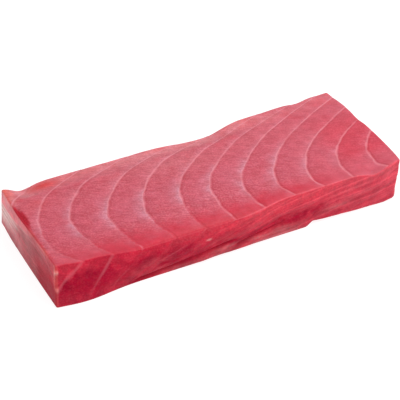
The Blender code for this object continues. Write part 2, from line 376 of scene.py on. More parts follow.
def seam_place(points, straight):
    """Place between seams: a whole number on each seam, rising to the right."""
    x, y, z = points.T
    lines = seam_positions(y, THICKNESS - straight[:, 2])
    shares = (x[:, None] - lines[:, :-1]) / (lines[:, 1:] - lines[:, :-1])
    return np.clip(shares, 0.0, 1.0).sum(axis=1)


def smooth_noise(points, size):
    """Smooth noise from -1 to 1 with features of this size."""
    scaled = points / size
    return np.array([noise.noise(Vector(place) + NOISE_SEED_PLACE) for place in scaled])


def flesh_relief(points, place):
    """How far the flesh stands out of its shaped surface."""
    between = place - np.floor(place)
    camber = FLAKE_CAMBER * np.sin(math.pi * between)
    step = FLAKE_STEP * (np.exp(-(1 - between) / FLAKE_STEP_REACH) - np.exp(-between / FLAKE_STEP_REACH))
    swell = SWELL_HEIGHT * smooth_noise(points, SWELL_SIZE)
    dimples = DIMPLE_HEIGHT * smooth_noise(points, DIMPLE_SIZE)
    return camber + step + swell + dimples


def fine_lines(start, size):
    """Lattice lines across one direction of the fine surface."""
    near = np.array(FINE_EDGE_LINES)
    cells = round((size - 2 * near[-1]) / FINE_PITCH)
    even = np.linspace(near[-1], size - near[-1], cells + 1)
    return start + np.concatenate([near[:-1], even, size - near[-2::-1]])


def surface_lattice(lines):
    """Corners and quads of a closed box over these lattice lines, with the quads facing out."""
    counts = [len(line) for line in lines]
    number = -np.ones(counts, dtype=int)
    i, j, k = np.indices(counts)
    on_skin = (i == 0) | (j == 0) | (k == 0)
    on_skin |= (i == counts[0] - 1) | (j == counts[1] - 1) | (k == counts[2] - 1)
    number[on_skin] = np.arange(on_skin.sum())
    corners = np.stack([lines[0][i], lines[1][j], lines[2][k]], axis=-1)[on_skin]
    quads = []
    for axis in range(3):
        turned = np.moveaxis(number, (axis, (axis + 1) % 3, (axis + 2) % 3), (0, 1, 2))
        for level in (0, -1):
            sheet = turned[level]
            ring = [sheet[:-1, :-1], sheet[1:, :-1], sheet[1:, 1:], sheet[:-1, 1:]]
            ring = ring[::-1] if level == 0 else ring
            quads.append(np.stack([part.ravel() for part in ring], axis=-1))
    return corners, np.concatenate(quads)


# Colours of the flesh, as linear red, green and blue
# The top's plain and hazy ramps are paler than the rich red of the cut sides: partly the flesh's own tone and
# partly painted sheen
PLAIN_RAMP = (
    (0.00, (0.545, 0.076, 0.112)),
    (0.12, (0.560, 0.080, 0.118)),
    (0.70, (0.580, 0.088, 0.128)),
    (1.00, (0.600, 0.108, 0.150)),
)
HAZY_RAMP = (
    (0.00, (0.545, 0.080, 0.118)),
    (0.16, (0.560, 0.088, 0.130)),
    (0.62, (0.575, 0.105, 0.152)),
    (0.84, (0.585, 0.150, 0.205)),
    (1.00, (0.600, 0.235, 0.300)),
)
RICH = (0.600, 0.018, 0.046)
CRIMSON = (0.370, 0.001, 0.024)
PALE = (0.760, 0.470, 0.450)
ORANGE = (0.680, 0.050, 0.055)
WEDGE_RED = (0.500, 0.004, 0.022)
# Colour of a painted glow through thin flesh and of painted highlights on the front-left edge
PEACH_GLOW_AND_HIGHLIGHT = (0.760, 0.140, 0.120)
DULL = (0.310, 0.006, 0.018)
LIP_PINK = (0.780, 0.165, 0.195)
# Dark red of dark patches and of painted shade in folds, the groove, a crease and a slit
DEEP_RED_AND_SHADE = (0.340, 0.001, 0.018)
SEAM_PINK = (0.760, 0.260, 0.310)
# Pink of the painted highlight on the sharp front edge and of the streaks of the front face
EDGE_HIGHLIGHT_AND_STREAK_PINK = (0.760, 0.140, 0.180)
BAND_PINK = (0.660, 0.075, 0.110)
STRIP_PINK = (0.840, 0.290, 0.310)

# Soft patches, each as (two middles, two spreads, strength): x and y on the top, x and z on the front face,
# y and z on the left end
ORANGE_PATCHES = (
    (-79.5, 29.5, 10.0, 4.6, 1.00),
    (-88.0, 14.0, 6.0, 5.0, 0.25),
    (-60.0, 31.0, 6.0, 3.0, 0.28),
    (-50.0, 31.0, 4.0, 2.5, 0.22),
    (-9.0, 32.5, 7.0, 2.6, 0.40),
    (9.0, 30.0, 6.0, 2.4, 0.34),
    (43.0, 34.0, 6.0, 2.6, 0.26),
)
# Dark marks on the top; the first two are painted shade along the crease of the slanted strip
TOP_DARK_MARKS = (
    (-67.5, 19.0, 6.0, 0.9, 0.30),
    (-82.0, 21.5, 6.0, 0.7, 0.20),
    (-58.0, 14.0, 1.7, 1.3, 0.28),
    (-13.0, 9.0, 0.7, 0.7, 0.40),
    (24.0, 16.5, 0.9, 0.9, 0.60),
    (-64.0, -36.0, 12.0, 8.0, 0.12),
)
EDGE_STREAKS = (
    (-54.7, -42.0, 0.7, 2.0, 0.75),
    (-39.1, -43.0, 0.8, 1.4, 0.70),
    (-25.1, -40.5, 0.7, 1.6, 0.65),
    (-18.7, -43.0, 1.6, 0.8, 0.75),
)
TOP_PALE_PATCHES = ((-99.0, 23.5, 1.6, 5.0, 0.30), (-5.0, 16.0, 38.0, 9.0, 0.07))
# The thick pale seam inside the raised corner
CORNER_SEAM = ((-97.0, 24.0, 6.0, 7.5, 1.10),)
# Pale patches of the front face; the first is a small painted glint
FRONT_PALE_PATCHES = (
    (-16.8, 17.1, 1.3, 0.6, 0.55),
    (14.0, 5.0, 6.0, 1.4, 0.10),
    (28.0, 6.0, 6.0, 1.6, 0.10),
    (-4.0, 5.5, 7.0, 1.6, 0.14),
    (-35.0, 2.0, 9.0, 1.5, 0.10),
    (-48.0, 13.0, 6.0, 3.0, 0.04),
    (62.0, 9.0, 8.0, 2.0, 0.12),
)
FRONT_DARK_MARKS = (
    (-61.0, 9.0, 1.0, 1.3, 0.50),
    (-45.0, 17.0, 4.0, 2.4, 0.12),
    (-78.0, 8.0, 7.0, 5.0, 0.25),
    (-5.0, 12.0, 12.0, 5.0, 0.52),
    (-5.0, 1.5, 9.0, 2.0, 0.25),
    (-62.0, 6.0, 12.0, 9.0, 0.26),
    (-35.0, 7.0, 9.0, 4.5, 0.40),
    (55.0, 14.5, 9.0, 3.0, 0.12),
    (25.0, 15.0, 9.0, 3.0, 0.15),
    (85.0, 19.0, 9.0, 4.0, 0.12),
    (-76.0, 24.3, 11.0, 0.9, 0.35),
    (-88.0, 12.0, 5.5, 6.0, 0.32),
)
# Thin light streaks on the front face, each as (x and z of its left end, of its right end, strength)
FRONT_STREAKS = (
    (49.0, 16.3, 91.0, 20.5, 0.40),
    (18.0, 14.2, 58.0, 18.0, 0.28),
    (58.0, 11.5, 96.0, 15.5, 0.30),
    (-46.0, 12.0, -27.0, 19.5, 0.30),
)
END_PALE_PATCHES = (
    (14.0, 17.0, 6.0, 1.6, 0.45),
    (3.0, 21.0, 9.0, 1.2, 0.20),
    (-37.0, 20.5, 0.9, 1.2, 0.55),
)
# Dark patches on the left end; the first is painted shade in a slit
END_DARK_PATCHES = (
    (8.5, 12.7, 0.8, 2.2, 0.90),
    (-24.0, 6.0, 9.0, 3.0, 0.20),
    (31.0, 2.5, 3.0, 1.6, 0.45),
    (-30.0, 5.0, 11.0, 8.0, 1.50),
    (18.0, 1.5, 10.0, 5.0, 1.30),
    (34.5, 22.8, 3.0, 1.6, 0.55),
    (-12.0, 23.5, 8.0, 2.4, 0.80),
    (20.0, 22.5, 4.0, 1.6, 0.20),
)
# On the upright edge at the front left: soft peach patches of painted highlight by z and distance from the
# front, and two painted glints
EDGE_GLINTS = ((22.2, 0.4, 1.2, 1.6, 0.4), (11.2, 0.3, 1.1, 1.4, 0.4), (17.0, 1.8, 2.0, 1.0, 0.25))
GLINT_HEIGHTS = (21.8, 11.0)
GLINT_SPREAD = 1.0
GLINT_STRENGTH = 0.7
GLINT_NEAR = (1.7, 0.7)
# The lip rolls over onto the left end, down to this height at the back and, from this Y on, less far
# by this much per mm to the front
LIP_LOW_Z = 16.6
LIP_LOW_Y = 26.0
LIP_RISE = 0.176

# Seam line: its half width and its shift to the right, as shares of the distance between seams, how much
# it varies in width, how much wider it is on the cut sides, and its strength
SEAM_HALF_WIDTH = 0.066
SEAM_SHIFT = 0.012
SEAM_WIDTH_LEVELS = (0.65, 1.25)
SIDE_SEAM_WIDTH = 1.7
SEAM_STRENGTH = 0.68
# Middle of a range from 0 to 1
HALF_WAY = 0.5

# Sizes of the patterns in metres, where three numbers stretch a pattern along X, Y and Z
FIBRE_SIZE = (0.0044, 0.0008, 0.0008)
MOTTLE_SIZE = 0.0050
BLOTCH_SIZE = 0.011
DRIFT_SIZE = 0.022
GRAIN_SIZE = 0.0009
CUT_STREAK_SIZE = (0.0500, 0.0300, 0.0016)
FIBRE_TURN = math.radians(-27.0)
FIBRE_WAVINESS = 0.6
FINE_DETAIL = 3.0
BANDS_BETWEEN_SEAMS = 0.90

# The part of a noise's range that is used, and the brightness or change of brightness at its ends
NOISE_RANGE = (0.3, 0.7)
MOTTLE_LEVELS = (0.90, 1.10)
FIBRE_CHANGE = (-0.125, 0.125)
GRAIN_CHANGE = (-0.105, 0.06)
BAND_CHANGE = (-0.12, 0.10)
# How strong a layer is, as (two ends of the noise's range, strength at both)
HAZE_BLOTCHES = (0.30, 0.62, 0.25, 1.15)
HAZE_FIBRES = (0.35, 0.65, 0.75, 1.15)
CUT_STREAKS = (0.3, 0.7, 0.55, 1.35)
PATCHINESS = (0.32, 0.62, 0.60, 1.15)
BANDS_SEEN = (0.45, 0.75, 0.0, 1.0)
PALE_GRAIN = (0.42, 0.72, 0.0, 0.06)
WEDGE_SHARE = 0.85
DEEP_SHARE = 0.85
# How much red changes where green and blue change by 1
RED_CHANGE_TOP = 0.6
RED_CHANGE_SIDE = 1.2

# Surface finish
ROUGHNESS_LEVELS = (0.32, 0.50)
BUMP_DISTANCE = 0.00018
BUMP_GRAIN = 0.3
BUMP_FIBRE = 0.5
BUMP_SEAM = 0.6
FLESH_FINISH = {
    "IOR": 1.34,
    "Subsurface Weight": 0.20,
    "Subsurface Radius": (1.0, 0.24, 0.16),
    "Subsurface Scale": 0.0020,
    "Coat Weight": 0.02,
    "Coat Roughness": 0.18,
}
SPECULAR_LEVEL = 0.22
SPECULAR_MATT = 0.06

# Sockets of a node that mixes colours: the share, both colours and the result
MIX_INPUTS = (0, 6, 7)
MIX_OUTPUT = 2

# Floor, light and camera
FLOOR_SIZE = 4.0
FLOOR_DROP = 0.00015
FLOOR_FINISH = {
    "Base Color": (0.32, 0.32, 0.32),
    "Roughness": 0.9,
    "Specular IOR Level": 0.0,
    "Emission Color": (1.0, 1.0, 1.0),
    "Emission Strength": 0.84,
}
WORLD_STRENGTH = 0.66
KEY_PLACE = Vector((0.50, -0.34, 0.85))
KEY_SIZE = 0.9
KEY_POWER = 7.5
LENS = 144.0
SENSOR = 36.0
CAMERA_PLACE_MM = (-311.33, -619.05, 534.81)
CAMERA_AZIMUTH = math.radians(-26.676)
CAMERA_ELEVATION = math.radians(37.266)

# How squarely a point has to face one way to belong to that side, from not at all to fully
FACING = (0.35, 0.95)
# The relief fades out towards the underside between these heights
RELIEF_START_Z = (0.0, 1.5)

# Where the looks change, in mm along the axis that the name ends with. Two numbers are the start and end of
# an easing from 0 to 1, or a middle and a spread. A grade has four: start, end and the levels at both. A
# window has three: start, end and fade. An unevenness has three too: mean, size and the size of its features.
# The haze of the top is partly the flesh's own tint and partly painted sheen
HAZE_EVERYWHERE = 0.30
HAZE_AT_BENDS = 0.75
HAZE_BENDS_Y = (-13.0, 14.0)
HAZE_LEFT_X = (-84.0, -96.0, 1.0, 0.45)
HAZE_RIGHT_X = (35.0, 60.0, 1.0, 0.65)
HAZE_FRONT_X = (-20.0, -60.0, -25.0, -19.0)
HAZE_FRONT_FADE = 9.0
HAZE_FRONT_LOSS = 0.85

# The rich band begins this far forward of the middle, and further forward towards the right of each flake
RICH_BAND_START = (22.5, 4.0, 5.0)
RICH_BAND_SLANT = 6.0
RICH_BAND_POWER = 1.5
RICH_BAND_FADE = 17.0
RICH_BAND_LEFT_X = (-85.0, -70.0, 0.42, 0.75)
RICH_BAND_RIGHT_X = (82.0, 38.0)
RICH_BLOTCHES_Y = (8.0, 24.0, 0.0, 0.30)
RICH_BLOTCH_SIZE = 7.0
RICH_BLOTCH_NOISE = (0.0, 0.5)
RICH_CORNER_X = (66.0, 82.0, 0.0, 0.52)
RICH_CORNER_BACK_Y = (20.0, 2.0)
RICH_CORNER_FRONT_Y = (-32.0, -20.0)
RICH_FRONT_X = (20.0, 100.0, 1.0, 0.70)
RICH_END_Y = (0.0, -25.0, 0.45, 0.85)
RICH_HIDDEN_SIDES = 0.6
RICH_UNDERSIDE = 0.5

# Crimson flesh is weaker left of the first seam on the front, which has this number
CRIMSON_LEFT_X = (30.0, -45.0)
CRIMSON_FIRST_SEAM = (5.95, 6.12, 0.50, 1.0)
CRIMSON_LEFT_Z = (22.0, 15.0, 0.45, 1.0)
# More crimson towards the bottom of the front face: deeper flesh and painted shade
CRIMSON_FOOT_Z = (20.0, 9.0, 0.0, 0.62)
CRIMSON_FOOT_X = (45.0, 85.0, 1.0, 0.4)
CRIMSON_FOLD = 0.90
CRIMSON_FOLD_RISE = 2.5
CRIMSON_FOLD_SPREAD = 4.0
CRIMSON_FOLD_X = (-60.0, 70.0, 20.0)
CRIMSON_UNEVEN = (1.04, 0.55, 3.6)

MATT_END_Y = (-3.0, -26.0)
MATT_END_Z = (22.0, 12.0)
MATT_CRIMSON_Z = (3.0, 11.0, 0.30, 1.0)

# The wedge reaches this far in from the left end, and further between the two ranges along Y
WEDGE_REACH = 0.8
WEDGE_MORE_REACH = 2.2
WEDGE_WIDE_BACK_Y = (16.5, 9.0)
WEDGE_WIDE_FRONT_Y = (-8.0, 5.0)
WEDGE_FADE = 1.2
WEDGE_Y = (-34.0, 18.0, 3.0)
WEDGE_BACK_Y = (-10.0, 2.0, 0.35, 1.0)

# Whitish tissue on the left end, the line below its lip, the milky top and the pale foot of the front
PALE_END_Y = (-14.0, 8.0, 0.0, 0.10)
PALE_BACK_Y = (9.0, 31.0, 0.0, 0.72)
PALE_BACK_FOOT_Z = (1.0, 12.0)
PALE_BACK_TOP_Z = (18.0, 23.0, 1.0, 0.4)
LIP_LINE_SPREAD = 0.7
LIP_LINE_Y = (-8.0, 24.0, 0.10, 0.55)
MILKY_Y = (-15.0, 25.0, 0.01, 0.05)
# A faint painted highlight high on the front face, right of the middle of the shoulder
GLEAM_X = (-50.0, -30.0)
GLEAM_Y = (-36.0, -40.0)
GLEAM_Z = (16.0, 24.0, 0.0, 0.035)
# The pale foot of the front, below the fold
PALE_BELOW_FOLD = (0.8, 2.5, 0.0, 0.06)

STRIP_LEFT_X = (-104.0, -86.0)
STRIP_RIGHT_X = (30.0, 70.0, 0.50, 0.225)
STRIP_Y = (22.0, 32.0)

LIP_EDGE = (-0.3, 0.8)
LIP_FRONT_Y = (-34.0, -22.0)
LIP_SHOWN_Y = (-12.0, 8.0, 0.405, 0.90)

DULL_Y = (24.0, 0.0, 0.35, 0.78)
DULL_Z = (26.0, 19.0)
DULL_LOSS = 0.45
DULL_LOSS_Y = (-12.0, -28.0)
DULL_LOSS_Z = (8.0, 16.0)

# Painted glow where thin flesh lets light through, at the raised corner and along the lip, and painted
# highlights on the front-left edge
PEACH_TIP = 0.70
PEACH_TIP_X = (-94.0, -99.0)
PEACH_TIP_Y = (19.0, 26.0)
PEACH_LIP = 0.50
PEACH_LIP_INSET = (1.5, 0.7)
PEACH_LIP_Z = (23.0, 25.0)
PEACH_LIP_GAP = 0.85
PEACH_LIP_GAP_Y = (-6.0, 20.0, 4.0)
PEACH_EDGE = 0.30
PEACH_EDGE_INSET = (1.6, 0.6)
PEACH_EDGE_FRONT = (4.0, 1.2)

# How much nearer to the end the dark line of the groove lies than its deepest part, and how dark it is
GROOVE_SHADE_SHIFT = 1.3
GROOVE_SHADE = 0.85
GROOVE_SHADE_POWER = 0.6

# How plainly seams show: unevenly on the top, where those on the left half fade out towards the front
SEAM_UNEVEN = (0.80, 0.62, 9.0)
SEAM_UNEVEN_LIMITS = (0.3, 1.1)
SEAM_EDGE_Y = (-41.0, -38.5, 0.35, 1.0)
SEAM_BACK_Y = (16.0, 26.0, 1.0, 1.45)
SEAM_FADE = 0.90
SEAM_FADE_START_X = (-66.0, -90.0, -18.0, -5.0)
SEAM_FADE_REACH = 9.0
SEAM_FADE_X = (0.0, -24.0)
SEAM_FRONT = 0.03
SEAM_FRONT_LEFT = 0.26
SEAM_FRONT_X = (-60.0, -72.0)
SEAM_FRONT_Z = (0.0, 18.0)
SEAM_HIDDEN_SIDES = 0.45
SEAM_LEFT_END = 0.06
SEAM_UNDERSIDE = 0.60

# The dark line right of each seam, as shares of the distance between seams, and how dark it is
SEAM_SHADE = (0.03, 0.07, 0.13)
SHADE_TOP = 0.10
SHADE_FRONT = 0.20
SHADE_Y = (-12.0, -26.0)
SHADE_X = (-60.0, -20.0)
SHADE_UNEVEN = (0.8, 0.9, 9.0)
SHADE_LIMITS = (0.2, 1.3)
SHADE_NOISE_SHIFT = 9.0

# Painted highlight on the sharp edge, by distance from it, and streaks that fade over a share of their length
EDGE_NEAR = (0.7, 0.25)
EDGE_LEFT_X = (-8.0, 6.0, 0.12, 0.48)
EDGE_RIGHT_X = (74.0, 90.0, 1.0, 0.4)
STREAK_WIDTH = 0.5
STREAK_FADE = 0.4

# How strong the fibres and the grain are
FINENESS_MIDDLE = 0.25
FINENESS_MIDDLE_X = (-15.0, 35.0)
FINENESS_RIGHT_X = (25.0, 80.0, 1.20, 0.80)
FINENESS_FRONT_Y = (-26.0, -38.0, 1.0, 0.25)
FINENESS_SIDES = 0.50

# Bands of the front face: how far they reach along X per mm of depth, and how plainly they show
BAND_LEAN_X = (-60.0, 30.0, 1.0, 8.0)
BANDS_SHOWN_X = (-10.0, 45.0, 0.15, 0.80)


def uneven(points, mean, size, feature_size):
    """A number that wanders about its mean from place to place."""
    return mean + size * smooth_noise(points, feature_size)


def skin_of(straight):
    """What the masks ask of each point: its place, how much it faces each side, how far in it lies."""
    points = shaped(straight)
    outward = rounding(straight)[2]
    x, y, z = points.T
    right, back, up = outward.T
    sides = {"up": up, "down": -up, "left": -right, "right": right, "front": -back, "back": back}
    faces = {name: ramp(value, *FACING) for name, value in sides.items()}
    return SimpleNamespace(
        points=points,
        straight=straight,
        outward=outward,
        place=seam_place(points, straight),
        x=x,
        y=y,
        z=z,
        from_left=straight[:, 0] + HALF_LENGTH,
        from_front=straight[:, 1] + HALF_WIDTH,
        **faces,
    )


def patches_of(along, across, table):
    """Soft patches added up, each given as (along, across, its two spreads, strength)."""
    total = np.zeros_like(along)
    for middle, other_middle, spread, other_spread, strength in table:
        total += strength * hump(along, middle, spread) * hump(across, other_middle, other_spread)
    return total


def fold_height(x):
    """Height of the fold on the front face."""
    return crease_heights(x)[2]


def haze_mask(skin):
    """Pale haze at the left of the seams, strongest round their leftmost points: partly the flesh's own tint
    and partly painted sheen.
    """
    along = HAZE_EVERYWHERE + HAZE_AT_BENDS * hump(skin.y, *HAZE_BENDS_Y)
    ends = graded(skin.x, *HAZE_LEFT_X) * graded(skin.x, *HAZE_RIGHT_X)
    fade_y = graded(skin.x, *HAZE_FRONT_X)
    front = 1.0 - HAZE_FRONT_LOSS * ramp(skin.y, fade_y, fade_y - HAZE_FRONT_FADE)
    return skin.up * along * ends * front


def rich_mask(skin):
    """Richer red flesh: the front of the top, blotches at its back, its right part and all other sides."""
    between = skin.place - np.floor(skin.place)
    start = uneven(skin.points, *RICH_BAND_START) + RICH_BAND_SLANT * between**RICH_BAND_POWER
    ends = graded(skin.x, *RICH_BAND_LEFT_X) * ramp(skin.x, *RICH_BAND_RIGHT_X)
    band = ends * ramp(-skin.y, start, start + RICH_BAND_FADE)
    spots = ramp(smooth_noise(skin.points, RICH_BLOTCH_SIZE), *RICH_BLOTCH_NOISE)
    blotches = spots * graded(skin.y, *RICH_BLOTCHES_Y)
    corner = ramp(skin.y, *RICH_CORNER_BACK_Y) * ramp(skin.y, *RICH_CORNER_FRONT_Y)
    corner = corner * graded(skin.x, *RICH_CORNER_X)
    top = skin.up * (band + blotches + corner)
    seen = skin.front * graded(skin.x, *RICH_FRONT_X) + skin.left * graded(skin.y, *RICH_END_Y)
    hidden = RICH_HIDDEN_SIDES * np.maximum(skin.right, skin.back) + RICH_UNDERSIDE * skin.down
    return np.clip(top + seen + hidden, 0.0, 1.0)


def crimson_mask(skin):
    """Deep crimson on the front face: its left part, more of it towards the bottom as deeper flesh and
    painted shade, and the flesh above the fold.
    """
    left = ramp(skin.x, *CRIMSON_LEFT_X) * graded(skin.place, *CRIMSON_FIRST_SEAM)
    left = left * graded(skin.z, *CRIMSON_LEFT_Z)
    foot = graded(skin.z, *CRIMSON_FOOT_Z) * graded(skin.x, *CRIMSON_FOOT_X)
    fold = hump(skin.z, fold_height(skin.x) + CRIMSON_FOLD_RISE, CRIMSON_FOLD_SPREAD)
    fold = CRIMSON_FOLD * fold * window(skin.x, *CRIMSON_FOLD_X)
    front = skin.front * np.maximum(np.maximum(left, foot), fold)
    return np.clip(front * uneven(skin.points, *CRIMSON_UNEVEN), 0.0, 1.0)


def matt_mask(skin, crimson):
    """Where the flesh reflects less: the crimson parts of the front face and the front part of the left end.
    """
    end = skin.left * ramp(skin.y, *MATT_END_Y) * ramp(skin.z, *MATT_END_Z)
    return np.clip(end + crimson * graded(skin.z, *MATT_CRIMSON_Z), 0.0, 1.0)


def wedge_mask(skin):
    """The bright red wedge of flesh that shows just inside the lip of the left end."""
    wide = ramp(skin.y, *WEDGE_WIDE_BACK_Y) * ramp(skin.y, *WEDGE_WIDE_FRONT_Y)
    reach = WEDGE_REACH + WEDGE_MORE_REACH * wide
    near = ramp(skin.from_left, reach + WEDGE_FADE, reach)
    return np.sqrt(skin.up) * near * window(skin.y, *WEDGE_Y) * graded(skin.y, *WEDGE_BACK_Y)


def lip_height(y):
    """Height on the left end where the rolled lip stops."""
    return LIP_LOW_Z + LIP_RISE * np.maximum(LIP_LOW_Y - y, 0.0)


def lip_mask(skin):
    """The pink lip that rolls over onto the left end."""
    above = ramp(skin.z - lip_height(skin.y), *LIP_EDGE)
    return skin.left * above * ramp(skin.y, *LIP_FRONT_Y) * graded(skin.y, *LIP_SHOWN_Y)


def pale_end(skin):
    """Whitish tissue of the left end: its back part, the line below the lip and small patches."""
    above = skin.z - lip_height(skin.y)
    back = graded(skin.y, *PALE_BACK_Y) * ramp(skin.z, *PALE_BACK_FOOT_Z) * graded(skin.z, *PALE_BACK_TOP_Z)
    below = (1.0 - ramp(above, *LIP_EDGE)) * (graded(skin.y, *PALE_END_Y) + back)
    line = hump(above, 0.0, LIP_LINE_SPREAD) * graded(skin.y, *LIP_LINE_Y)
    return skin.left * (below + line + patches_of(skin.y, skin.z, END_PALE_PATCHES))


def pale_front(skin):
    """Whitish parts of the front face: below the fold, and small patches."""
    below = graded(fold_height(skin.x) - skin.z, *PALE_BELOW_FOLD)
    below = below * window(skin.x, LIP_START, LIP_END, LIP_FADE)
    return skin.front * (below + patches_of(skin.x, skin.z, FRONT_PALE_PATCHES))


def corner_glints(skin):
    """Two whitish painted glints on the upright edge between the front and the left end."""
    corner = ramp(skin.from_left, *GLINT_NEAR) * ramp(skin.from_front, *GLINT_NEAR)
    return GLINT_STRENGTH * corner * sum(hump(skin.z, height, GLINT_SPREAD) for height in GLINT_HEIGHTS)


def pale_and_highlight_mask(skin):
    """Whitish flesh, connective tissue on the left end and the milky top, with painted highlights: a faint
    one by the shoulder and small glints.
    """
    milk = skin.up * (graded(skin.y, *MILKY_Y) + patches_of(skin.x, skin.y, TOP_PALE_PATCHES))
    gleam = ramp(skin.x, *GLEAM_X) * ramp(skin.y, *GLEAM_Y)
    gleam = gleam * graded(skin.z, *GLEAM_Z)
    return np.clip(pale_end(skin) + pale_front(skin) + milk + gleam + corner_glints(skin), 0.0, 1.0)


def strip_mask(skin):
    """The slanted strip along the back edge, pinker than the rest of the top."""
    along = ramp(skin.x, *STRIP_LEFT_X) * graded(skin.x, *STRIP_RIGHT_X)
    return skin.up * along * ramp(skin.y, *STRIP_Y)


def dull_mask(skin):
    """Brownish dark red on the left end, most of it below the top and towards the front."""
    brighter = 1.0 - DULL_LOSS * ramp(skin.y, *DULL_LOSS_Y) * ramp(skin.z, *DULL_LOSS_Z)
    return skin.left * graded(skin.y, *DULL_Y) * ramp(skin.z, *DULL_Z) * brighter


def orange_mask(skin):
    """Orange-red patches, most of them on the slanted strip."""
    return np.clip(skin.up * patches_of(skin.x, skin.y, ORANGE_PATCHES), 0.0, 1.0)


def peach_glow_and_highlight_mask(skin):
    """Painted glow where thin flesh lets light through, at the raised corner and the lip, and painted
    highlights on the front-left edge.
    """
    tip = PEACH_TIP * skin.up * ramp(skin.x, *PEACH_TIP_X) * ramp(skin.y, *PEACH_TIP_Y)
    lip = ramp(skin.from_left, *PEACH_LIP_INSET) * ramp(skin.z, *PEACH_LIP_Z) * ramp(skin.y, *LIP_FRONT_Y)
    lip = PEACH_LIP * lip * (1.0 - PEACH_LIP_GAP * window(skin.y, *PEACH_LIP_GAP_Y))
    corner = ramp(skin.from_left, *PEACH_EDGE_INSET) * ramp(skin.from_front, *PEACH_EDGE_FRONT)
    edge = corner * (PEACH_EDGE + patches_of(skin.z, skin.from_front, EDGE_GLINTS))
    return np.clip(tip + lip + edge, 0.0, 1.0)


def deep_red_and_shade_mask(skin):
    """Dark red: painted shade inside the folds of the front face and the groove, and dark patches and marks,
    some of them painted shade on a crease and in a slit.
    """
    press = crease_press(skin.straight[:, 0], skin.straight[:, 2]) / CREASE_DEPTH
    folds = skin.front * np.clip(press, 0.0, 1.0)
    groove = groove_depth(skin.from_left + GROOVE_SHADE_SHIFT, skin.y) / GROOVE_DEEP
    groove = GROOVE_SHADE * skin.up * groove**GROOVE_SHADE_POWER
    end = skin.left * patches_of(skin.y, skin.z, END_DARK_PATCHES)
    top = skin.up * patches_of(skin.x, skin.y, TOP_DARK_MARKS)
    front = skin.front * patches_of(skin.x, skin.z, FRONT_DARK_MARKS)
    return np.clip(folds + groove + end + top + front, 0.0, 1.0)


def seam_show_mask(skin):
    """How plainly the seams show: best on the top, less on the front and least on the left end."""
    broken = np.clip(uneven(skin.points, *SEAM_UNEVEN), *SEAM_UNEVEN_LIMITS)
    fade_y = graded(skin.x, *SEAM_FADE_START_X)
    faded = SEAM_FADE * ramp(skin.y, fade_y, fade_y - SEAM_FADE_REACH) * ramp(skin.x, *SEAM_FADE_X)
    top = broken * (1.0 - faded) * graded(skin.y, *SEAM_EDGE_Y) * graded(skin.y, *SEAM_BACK_Y)
    top = skin.up * (top + patches_of(skin.x, skin.y, EDGE_STREAKS + CORNER_SEAM))
    left_part = ramp(skin.x, *SEAM_FRONT_X) * ramp(skin.z, *SEAM_FRONT_Z)
    front = skin.front * (SEAM_FRONT + SEAM_FRONT_LEFT * left_part)
    hidden = SEAM_HIDDEN_SIDES * np.maximum(skin.back, skin.right) + SEAM_UNDERSIDE * skin.down
    return np.clip(top + front + hidden + SEAM_LEFT_END * skin.left, 0.0, 1.0)


def seam_shade_mask(skin):
    """How dark the line right of each seam is: darker towards the front edge of the top."""
    lower = ramp(skin.y, *SHADE_Y) * ramp(skin.x, *SHADE_X)
    strength = SHADE_TOP + (SHADE_FRONT - SHADE_TOP) * lower
    broken = uneven(skin.points + SHADE_NOISE_SHIFT, *SHADE_UNEVEN)
    return skin.up * strength * np.clip(broken, *SHADE_LIMITS)


def edge_highlight_and_streak_mask(skin):
    """Thin pink: a painted highlight along the sharp edge between the top and the front, and the streaks of
    the front face.
    """
    straight_x, straight_z = skin.straight[:, 0], skin.straight[:, 2]
    near = ramp(skin.from_front, *EDGE_NEAR) * ramp(THICKNESS - straight_z, *EDGE_NEAR)
    edge = near * graded(straight_x, *EDGE_LEFT_X) * graded(straight_x, *EDGE_RIGHT_X)
    for start_x, start_z, end_x, end_z, strength in FRONT_STREAKS:
        length = end_x - start_x
        height = start_z + (end_z - start_z) * (skin.x - start_x) / length
        streak = hump(skin.z, height, STREAK_WIDTH) * window(skin.x, start_x, end_x, STREAK_FADE * length)
        edge = edge + strength * streak * skin.front
    return np.clip(edge, 0.0, 1.0)


def fineness_mask(skin):
    """How strong the fibres and grain are: most round the middle of the top, least along its front."""
    top = graded(skin.x, *FINENESS_RIGHT_X) + FINENESS_MIDDLE * hump(skin.x, *FINENESS_MIDDLE_X)
    top = top * graded(skin.y, *FINENESS_FRONT_Y)
    return FINENESS_SIDES + (top - FINENESS_SIDES) * skin.up


def band_place(skin):
    """Place across the soft bands of the front face, which lean over more and more to the right."""
    return (skin.x + graded(skin.x, *BAND_LEAN_X) * (THICKNESS - skin.z)) / SEAM_SPACING


def masks_of(skin):
    """The numbers that the flesh material reads at each point, by name."""
    crimson = crimson_mask(skin)
    return {
        "seam_place": skin.place,
        "seam_show": seam_show_mask(skin),
        "seam_shade": seam_shade_mask(skin),
        "haze": haze_mask(skin),
        "rich": rich_mask(skin),
        "crimson": crimson,
        "matt": matt_mask(skin, crimson),
        "pale": pale_and_highlight_mask(skin),
        "wedge": wedge_mask(skin),
        "strip": strip_mask(skin),
        "dull": dull_mask(skin),
        "orange": orange_mask(skin),
        "peach_glow_and_highlights": peach_glow_and_highlight_mask(skin),
        "deep_red_and_shade": deep_red_and_shade_mask(skin),
        "edge_highlight_and_streaks": edge_highlight_and_streak_mask(skin),
        "lip": lip_mask(skin),
        "band_place": band_place(skin),
        "front_bands": skin.front * graded(skin.x, *BANDS_SHOWN_X),
        "cut_side": 1.0 - skin.up,
        "fineness": fineness_mask(skin),
    }


def add_object(name, data):
    """A new object in the scene with this mesh, light or camera."""
    made = bpy.data.objects.new(name, data)
    bpy.context.scene.collection.objects.link(made)
    return made


